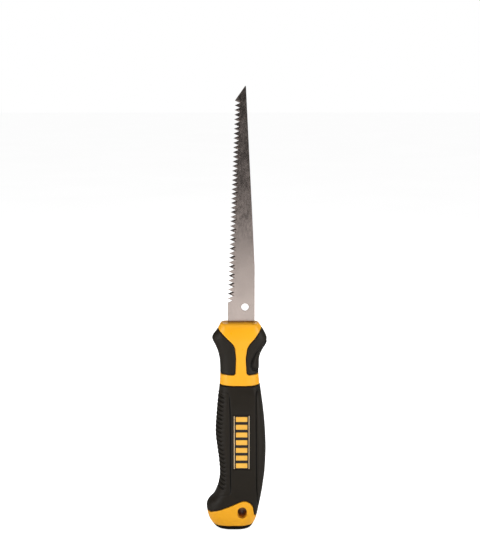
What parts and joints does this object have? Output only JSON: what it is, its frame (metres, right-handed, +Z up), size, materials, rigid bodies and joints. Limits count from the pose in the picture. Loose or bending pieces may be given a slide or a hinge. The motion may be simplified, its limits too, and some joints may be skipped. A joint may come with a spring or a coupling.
{
  "type": "drywall saw",
  "caption": "Jab saw for drywall: a pointed, toothed steel blade fixed in a two-shell plastic handle with rubber grip, neck pads and hang hole.",
  "frame": {"origin": "under the middle of the whole saw, on the flat foot of the butt pad", "axes": "+Z up along the blade to its point, -Y out of the front face, -X towards the teeth and the finger side"},
  "size_m": [0.0427, 0.0252, 0.3138],
  "materials": {
    "blade_steel": "satin ground spring steel, darker towards the point",
    "yellow_plastic": "moulded yellow plastic, slight gloss",
    "black_rubber": "soft matt black moulded rubber",
    "badge_plastic": "black plate with plain yellow bars",
    "pin_steel": "bright steel dowel"
  },
  "bodies": {
    "root": {"blade": "blade_steel", "body_front": "yellow_plastic", "body_rear": "yellow_plastic", "neck_pad_left": "black_rubber", "neck_pad_right": "black_rubber", "grip_sleeve": "black_rubber", "butt_pad": "black_rubber", "badge_front": "badge_plastic", "badge_rear": "badge_plastic", "tang_pin_upper": "pin_steel", "tang_pin_lower": "pin_steel"}
  },
  "joints": []
}
